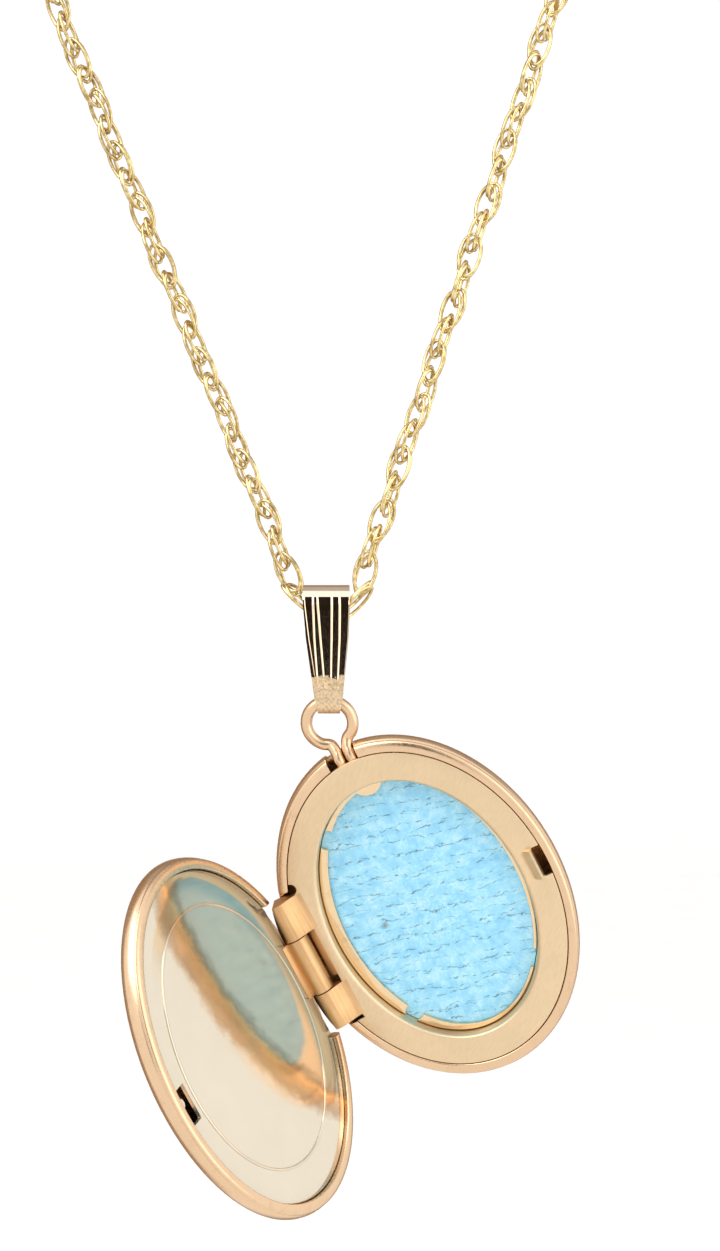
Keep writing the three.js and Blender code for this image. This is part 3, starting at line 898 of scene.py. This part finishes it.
def shell_rings(side, liner_depth):
    """The lip from the seam out, the bulged side, the dome, and the inside back to the seam."""
    profile = [(SEAM, liner_depth + LINER_SHEET + 0.05), (SEAM, 0.09)]
    profile += [(SEAM + 0.06 * (1 - math.cos(t)), 0.09 - 0.06 * math.sin(t))
                for t in (math.radians(angle) for angle in (22, 45, 67, 90))]
    profile += [(7.15, 0.035)]
    profile += quarter(7.15, 0.035, 7.44, 0.2, 6)[1:]
    profile += [(7.425, 0.23), (7.435, 0.26), (7.47, 0.3)]
    profile += [(7.51, 0.4), (7.54, 0.55)]
    for step in range(28):
        angle = math.pi / 2 * step / 28
        profile.append((HALF_WIDTH * math.cos(angle), WIDEST_DEPTH + DOME_DEPTH * math.sin(angle)))
    profile.append((0.0, WIDEST_DEPTH + DOME_DEPTH))
    profile.append((0.0, WIDEST_DEPTH + DOME_DEPTH - SHEET))
    for step in range(15, -1, -1):
        angle = math.pi / 2 * step / 16
        profile.append(((HALF_WIDTH - SHEET) * math.cos(angle),
                        WIDEST_DEPTH + (DOME_DEPTH - SHEET) * math.sin(angle)))
    return [(across, across * OVAL_RATIO, side * depth) for across, depth in profile]


def box_tool(x0, x1, y0, y1, z0, z1, place):
    return prism("tool", [(x0, y0), (x1, y0), (x1, y1), (x0, y1)], z0, z1, place)


def add_shells():
    back = oval_surface("back_dome", shell_rings(-1, BACK_LINER_DEPTH), CASE)
    cut(back, box_tool(-9, -6.1, -4.12, 4.12, -0.72, 1, CASE),
        prism("tool", rounded_box(-1.16, 0.52, 8.6, 11, 0.3), -1.1, 1, CASE))
    soften(back, 0.04)
    dress(back, "shell", "polished_case", "case", "back_shell")
    front = oval_surface("front_dome", shell_rings(1, FRONT_LINER_DEPTH), LID)
    cut(front, box_tool(-9, -6.1, -4.12, 4.12, -1, 0.95, LID))
    soften(front, 0.04)
    dress(front, "shell", "polished_case", "front", "front_shell")


# ---- The liners

LINER_EDGE = 6.948
OPENING_ROLL_ACROSS, OPENING_ROLL_ALONG = 0.3, 0.13
OPENING_ACROSS, OPENING_ALONG = 5.66, 7.72


def plate_edge(top, under, side):
    """The rounded outer edge of a liner, from its underside to its face."""
    edge = [(LINER_EDGE - 0.02, under), (LINER_EDGE, under - 0.03), (LINER_EDGE, top + 0.04),
            (LINER_EDGE - 0.012, top + 0.012), (LINER_EDGE - 0.04, top)]
    return [(across, across * OVAL_RATIO, side * depth) for across, depth in edge]


def back_liner_rings():
    top, under = BACK_LINER_DEPTH, BACK_LINER_DEPTH + LINER_SHEET
    rings = plate_edge(top, under, -1)
    rings += [(6.3, 6.3 * OVAL_RATIO, -top), (OPENING_ACROSS, OPENING_ALONG, -top)]
    for step in range(1, 9):
        turn = math.pi / 2 * step / 8
        across, along = OPENING_ROLL_ACROSS * math.sin(turn), OPENING_ROLL_ALONG * math.sin(turn)
        drop = 0.22 * (1 - math.cos(turn))
        rings.append((OPENING_ACROSS - across, OPENING_ALONG - along, -top - drop))
    rings += [(5.35, 7.58, -0.5), (5.33, 7.56, -1.26), (5.3, 7.53, -1.3), (0, 0, -1.3)]
    rings += [(0, 0, -1.5), (5.7, 7.75, -1.5), (5.84, 7.89, -0.55), (6.0, 7.95, -under)]
    return rings


def hinge_cutout(ends):
    """What is cut from the back liner at the hinge: a round notch above, a slot below, and
    the strips under the knuckles."""
    notch_x, notch_y, notch_radius = -6.1, 4.14, 0.33
    outline = [(-8, notch_y + notch_radius)]
    for step in range(13):
        turn = math.radians(90 - 180 * step / 12)
        outline.append((notch_x + notch_radius * math.cos(turn), notch_y + notch_radius * math.sin(turn)))
    root, slot = -6.16, -5.96
    outline += [(root, KNUCKLE_END - 0.02), (root, ends), (slot, ends), (slot, -ends), (root, -ends),
                (root, -KNUCKLE_END + 0.02), (-5.8, -KNUCKLE_END - 0.01), (-5.76, -4.06),
                (-8, -4.14)]
    return outline


def knuckle_outline():
    """The rolled sheet of a back knuckle in X and depth: ramp, roll round the pin, and return."""
    face, under = -BACK_LINER_DEPTH + 0.004, -BACK_LINER_DEPTH - LINER_SHEET - 0.004
    start, lift_angle = (-5.72, face), math.radians(68)
    top = (HINGE_X + KNUCKLE_RADIUS * math.cos(lift_angle), KNUCKLE_RADIUS * math.sin(lift_angle))
    slope = (-math.sin(lift_angle), math.cos(lift_angle))
    outline = [(-5.64, under), (-5.64, face - 0.012)]
    for step in range(13):
        t = step / 12
        low, high = 2 * t ** 3 - 3 * t ** 2 + 1, -2 * t ** 3 + 3 * t ** 2
        leave, arrive = t ** 3 - 2 * t ** 2 + t, t ** 3 - t ** 2
        x = low * start[0] + high * top[0] + leave * -1.1 + arrive * slope[0] * 0.9
        z = low * start[1] + high * top[1] + arrive * slope[1] * 0.9
        outline.append((x, z))
    for step in range(1, 25):
        turn = lift_angle + math.radians(245) * step / 24
        outline.append((HINGE_X + KNUCKLE_RADIUS * math.cos(turn), KNUCKLE_RADIUS * math.sin(turn)))
    outline += [(-6.25, under - 0.06), (-5.95, under)]
    return outline


def add_back_liner():
    liner = oval_surface("back_plate", back_liner_rings(), CASE)
    ends = MIDDLE_HALF + 0.06
    cut(liner, prism("tool", hinge_cutout(ends), -1, 1, CASE),
        prism("tool", rounded_box(6.47, 7.2, -0.87, 0.87, 0.08), -1, 1, CASE))
    for name, low, high in (("upper_knuckle", ends, KNUCKLE_END), ("lower_knuckle", -KNUCKLE_END, -ends)):
        roll = prism(name, knuckle_outline(), low, high, CASE, axis="Y")
        trim = prism("trim", oval_outline(HALF_WIDTH + 0.3, HALF_HEIGHT + 0.3), -2, 2, CASE)
        combine(roll, trim, "INTERSECT")
        soften(roll, 0.03)
        dress(roll, "knuckle", "satin_liner", "case")
    combine(liner, catch_tongue(), "UNION")
    soften(liner, 0.035)
    dress(liner, "satin", "satin_liner", "case", "back_liner")
    add_ledge(ends)


def catch_tongue():
    """The tab pressed up from the liner beside its hole, with rounded corners."""
    face = -BACK_LINER_DEPTH
    outline = [(5.86, face - 0.12), (5.86, face + 0.006), (5.94, face + 0.02), (6.04, face + 0.1),
               (6.14, face + 0.2), (6.28, 0.3), (6.36, 0.36), (6.44, 0.36), (6.47, 0.3),
               (6.5, face), (6.49, face - 0.12)]
    tongue = prism("tongue", outline, -0.9, 0.94, CASE, axis="Y")
    corners = prism("corners", rounded_box(5.8, 6.56, -0.84, 0.88, 0.3), -1, 1, CASE)
    return combine(tongue, corners, "INTERSECT")


def add_ledge(ends):
    """The pale floor of the slot beside the middle knuckle, bent down from the liner."""
    under = -BACK_LINER_DEPTH - LINER_SHEET
    outline = [(-5.9, under + 0.02), (-5.98, under + 0.05), (-6.1, under - 0.02), (-6.38, under - 0.1),
               (-6.36, under - 0.22), (-5.9, under - 0.12)]
    ledge = prism("hinge_ledge", outline, -1.3, ends - 0.05, CASE, axis="Y")
    soften(ledge, 0.03)
    dress(ledge, "satin", "satin_liner", "case")


PLATE_BULGE = 0.16


def front_liner_rings():
    top, under = FRONT_LINER_DEPTH, FRONT_LINER_DEPTH + LINER_SHEET
    rings = plate_edge(top, under, 1)
    rings += [(6.2, 6.2 * OVAL_RATIO, top), (5.76, 7.36, top)]
    for step in range(1, 8):
        turn = math.pi * step / 8
        inset = 0.16 * (1 - math.cos(turn)) / 2
        rings.append((5.76 - inset, 7.36 - inset, top - 0.075 * math.sin(turn)))
    for step in range(8):
        share = 1 - step / 8
        dish = PLATE_BULGE * (1 - share ** 2)
        rings.append((5.6 * share, 7.2 * share, top - dish))
    rings += [(0, 0, top - PLATE_BULGE), (0, 0, under - PLATE_BULGE), (4, 5.3, under)]
    return rings


def middle_outline():
    """The rolled sheet of the middle knuckle, from the front plate round the pin."""
    top, under = FRONT_LINER_DEPTH + 0.004, FRONT_LINER_DEPTH + LINER_SHEET - 0.004
    outline = [(-6.0, top), (-6.0, under), (-6.45, under)]
    for step in range(25):
        turn = math.radians(64 + 320 * step / 24)
        outline.append((HINGE_X + KNUCKLE_RADIUS * math.cos(turn), KNUCKLE_RADIUS * math.sin(turn)))
    return outline


def add_front_liner():
    liner = oval_surface("front_plate", front_liner_rings(), LID)
    lug = prism("lug", circle_outline(6.84, 0.38, 0.3), 0.3, 0.52, LID)
    slot = prism("slot", rounded_box(5.98, 6.74, -0.95, 1.1, 0.07), -1, 1, LID)
    cut(slot, lug)
    cut(liner, slot, box_tool(-8, -6.26, MIDDLE_HALF, 4.12, -1, 1, LID),
        box_tool(-8, -6.26, -4.12, -MIDDLE_HALF, -1, 1, LID))
    roll = prism("middle_knuckle", middle_outline(), -MIDDLE_HALF, MIDDLE_HALF, LID, axis="Y")
    soften(roll, 0.03)
    dress(roll, "knuckle", "mirror_liner", "front")
    soften(liner, 0.03)
    dress(liner, "plate", "mirror_liner", "front", "front_liner")


# ---- The picture, its ring, the pin and the loop


RING_NOTCHES = ((-3.2, 5.6, 0.55), (-3.38, -5.2, 0.5), (3.72, -5.0, 0.56), (3.83, 5.43, 0.45))


def add_photo_ring():
    """The springy frame: wider at its sides, open at four notches, with a thumb tab at the top."""
    top, low = -0.76, -0.98
    ring = prism("picture_ring", oval_outline(5.29, 7.5), low, top, CASE)
    hole = [(0.2 + x, 0.07 + y) for x, y in oval_outline(4.93, 7.35)]
    tab = prism("tab", circle_outline(0.12, 7.78, 0.87), -2, 2, CASE)
    cut(ring, combine(prism("hole", hole, -2, 2, CASE), tab, "DIFFERENCE"))
    for x, y, radius in RING_NOTCHES:
        cut(ring, prism("notch", circle_outline(x, y, radius), -2, 1, CASE))
    soften(ring, 0.05, 3)
    dress(ring, "ring", "mirror_liner", "picture_ring", "photo_frame")


def add_insert():
    """The paper, slightly buckled, with a relief of fine grain in its mesh."""
    across, along, top, under = 5.31, 7.5, -1.03, -1.24
    points, faces = [(0, 0, top)], []
    rows, segments = 56, SEGMENTS
    for row in range(1, rows + 1):
        ring = oval_outline(across * row / rows, along * row / rows, segments)
        points += [(x, y, top) for x, y in ring]
    relief = []
    for x, y, z in points:
        broad = noise.noise(Vector((x * 0.35, y * 0.35, 4.2)))
        fine = noise.fractal(Vector((x * 2.2, y * 2.2, 9.1)), 1.0, 2.0, 4)
        relief.append((x, y, z + 0.02 * min(broad, 0.5) + 0.008 * fine))
    faces += [[0, 1 + step, 1 + (step + 1) % segments] for step in range(segments)]
    for row in range(rows - 1):
        faces += ring_faces(1 + row * segments, 1 + (row + 1) * segments, segments)
    edge = 1 + (rows - 1) * segments
    bottom = len(relief)
    relief += [(x, y, under) for x, y in oval_outline(across, along, segments)]
    faces += ring_faces(edge, bottom, segments)
    relief.append((0, 0, under))
    faces += [[bottom + (step + 1) % segments, bottom + step, len(relief) - 1]
              for step in range(segments)]
    paper = new_object("picture_paper", relief, faces, CASE)
    dress(paper, "paper", "blue_paper", "insert", "photo_insert", angle=60)


def add_pin():
    low, high = -KNUCKLE_END + 0.45, KNUCKLE_END - 0.45
    stations = [(0, 0.19), (0.06, 0.25), (high - low - 0.06, 0.25), (high - low, 0.19)]
    pin = turned_rod("pin", Vector((HINGE_X, low, 0)), Vector((0, 1, 0)), stations, 32, CASE)
    dress(pin, "satin", "satin_liner", "case", "hinge_pin")


def add_loop():
    """Wire bent to an open ring, with two legs that spread inside the case."""
    neck = math.asin((0.41 + 0.08) / LOOP_RADIUS)
    legs = [(-0.6, 8.7, -0.78), (-0.4, 9.15, -0.47), (-0.38, 9.5, -0.42), (-0.38, 9.9, -0.58)]
    points = list(legs)
    for step in range(17):
        angle = -math.pi / 2 - neck - step / 16 * (2 * math.pi - 2 * neck)
        points.append((LOOP_RADIUS * math.cos(angle), LOOP_Y + LOOP_RADIUS * math.sin(angle),
                       -WIDEST_DEPTH))
    points += [(-x - 0.1, y, z) for x, y, z in reversed(legs)]
    route = catmull([(LOOP_X + x, y, z) for x, y, z in points], 8)
    loop = wire("wire_loop", route, LOOP_WIRE - 0.005, 20, place=CASE)
    dress(loop, "shell", "polished_case", "case", "hanger_loop")


# ---- The bail

BAIL_EYE, BAIL_CURL, BAIL_SHEET = 0.95, 0.42, 0.25
BAIL_TOP_Z, BAIL_LOW_Z = -43.68, -48.53
BAIL_HALVES = ((1.22, -42.4), (1.21, -43.6), (1.1, -45.3), (0.84, -47.5), (0.74, -48.4), (0.64, -48.9),
               (0.56, -49.25))
BAIL_LEAN = 0.022
FLUTE_TOP, FLUTE_LOW = -43.14, -47.9
FLUTE_PRESS = 0.07
EYE_STEPS, CURL_STEPS = 28, 28
RIDGES = ((-0.56, -0.66), (-0.38, -0.24), (0.24, 0.17), (0.57, 0.6))
RIDGE_CREST, RIDGE_FOOT = 0.04, 0.1
LEFT_BORDER = (-0.95, -0.8)
RIGHT_BORDER = (0.985, 0.99)


def bail_half(z):
    """Half the leaf's width at a height."""
    for (wide, top), (narrow, low) in zip(BAIL_HALVES, BAIL_HALVES[1:]):
        if z >= low:
            share = min(1, max(0, (top - z) / (top - low)))
            return wide + (narrow - wide) * share
    return BAIL_HALVES[-1][0]


def bail_line(upper, lower):
    """The loop round the eye and the curl, from the front of the eye over the top and round."""
    lean = math.asin((upper - lower) / (BAIL_TOP_Z - BAIL_LOW_Z))
    line = []
    for centre, radius, start, end, steps in ((BAIL_TOP_Z, upper, math.pi + lean, -lean, EYE_STEPS),
                                              (BAIL_LOW_Z, lower, -lean, -math.pi + lean, CURL_STEPS)):
        for step in range(steps + 1):
            angle = start + (end - start) * step / steps
            line.append((FRONT_Y + radius * math.cos(angle), centre + radius * math.sin(angle),
                         math.cos(angle), math.sin(angle)))
    front = straight_run(line[-1], line[0], 210)
    back = straight_run(line[EYE_STEPS], line[EYE_STEPS + 1], 12)
    return line[:EYE_STEPS + 1] + back + line[EYE_STEPS + 1:] + front


def straight_run(start, end, steps):
    """Points between two on the leaf, keeping the first one's facing."""
    return [(start[0] + (end[0] - start[0]) * step / steps, start[1] + (end[1] - start[1]) * step / steps,
             start[2], start[3]) for step in range(1, steps)]


def bail_columns(z):
    """(share of the half width, how far pressed in) across the leaf at a height."""
    down = min(1, max(0, (FLUTE_TOP - z) / (FLUTE_TOP - FLUTE_LOW)))
    ridges = [top + (low - top) * down for top, low in RIDGES]
    left = LEFT_BORDER[0] + (LEFT_BORDER[1] - LEFT_BORDER[0]) * down
    columns = [(-1.0, 0.0), (left, 0.0), (left + 0.04, 1.0)]
    for ridge in ridges:
        columns += [(columns[-1][0] * (1 - share) + (ridge - RIDGE_FOOT / 2) * share, 1.0)
                    for share in (0.25, 0.5, 0.75, 1.0)]
        columns += [(ridge - RIDGE_CREST / 2, 0.1), (ridge, 0.0), (ridge + RIDGE_CREST / 2, 0.1),
                    (ridge + RIDGE_FOOT / 2, 1.0)]
    columns += [(columns[-1][0] * (1 - share) + 0.96 * share, 1.0) for share in (0.25, 0.5, 0.75, 1.0)]
    return columns + [(RIGHT_BORDER[0], 0.0), (1.0, 0.0)]


def flute_press(z):
    """1 in the flutes, falling to 0 over their ends."""
    return max(0.0, min(1.0, (FLUTE_TOP - z) / 0.05, (z - FLUTE_LOW) / 0.4))


def add_bail():
    points, faces = [], []
    rows = 0
    for upper, lower, outside in ((BAIL_EYE + BAIL_SHEET, BAIL_CURL + BAIL_SHEET, True),
                                  (BAIL_EYE, BAIL_CURL, False)):
        line = bail_line(upper, lower)
        rows = len(line)
        for y, z, ny, nz in line:
            columns = bail_columns(z)
            for share, pressed in columns:
                x = share * bail_half(z) - BAIL_LEAN * (z - BAIL_HALVES[-1][1])
                press = FLUTE_PRESS * pressed * flute_press(z) if outside and ny < 0 else 0.0
                points.append((x, y - ny * press, z - nz * press))
    width = len(points) // (2 * rows)
    inner = rows * width
    starts = [(row * width, (row + 1) % rows * width) for row in range(rows)]
    for layer in (0, inner):
        for here, after in starts:
            faces += [[layer + here + step, layer + here + step + 1, layer + after + step + 1,
                       layer + after + step] for step in range(width - 1)]
    for edge in (0, width - 1):
        faces += [[here + edge, after + edge, inner + after + edge, inner + here + edge]
                  for here, after in starts]
    leaf = new_object("bail_leaf", points, faces)
    dress(leaf, "bail", "mirror_liner", "bail", "bail", angle=32)


# ---- Floor and the dark flag behind the camera


def add_floor():
    """A pale floor that sweeps up into a round backdrop."""
    profile = [(0.0, -0.12), (0.5, -0.12), (0.75, -0.1), (0.95, 0.0), (1.05, 0.2), (1.08, 0.9)]
    line = [Vector((radius, 0, z)) for radius, z in profile]
    curve = catmull(line, 8)
    points, faces, steps = [], [], 96
    for point in curve[1:]:
        points += [(x, y, point.z) for x, y in oval_outline(point.x, point.x, steps)]
    for row in range(len(curve) - 2):
        faces += ring_faces(row * steps, (row + 1) * steps, steps)
    faces.append(list(range(steps)))
    mesh = bpy.data.meshes.new("floor")
    mesh.from_pydata(points, [], faces)
    tidy_mesh(mesh)
    floor = add_item("floor", mesh)
    mesh.materials.append(MATERIAL["floor"])
    for face in mesh.polygons:
        face.use_smooth = True
    floor.visible_glossy = False


def add_flag():
    """A tall dark card in front, seen only in the polished metal, as a camera stand would be."""
    outline = rounded_box(-0.05, 0.05, -0.135, 0.21, 0.04)
    mesh = bpy.data.meshes.new("flag")
    mesh.from_pydata([Vector((x, -0.32, z)) for x, z in outline], [], [list(range(len(outline)))])
    flag = add_item("flag", mesh)
    mesh.materials.append(MATERIAL["flag"])
    flag.visible_camera = False
    flag.visible_shadow = False
    flag.visible_diffuse = False


# ---- Assembly

bpy.context.scene.view_settings.view_transform = "Standard"
add_camera()
add_chains()
add_lights()
add_world()
add_floor()
add_flag()
add_shells()
add_back_liner()
add_front_liner()
add_photo_ring()
add_insert()
add_pin()
add_loop()
add_bail()
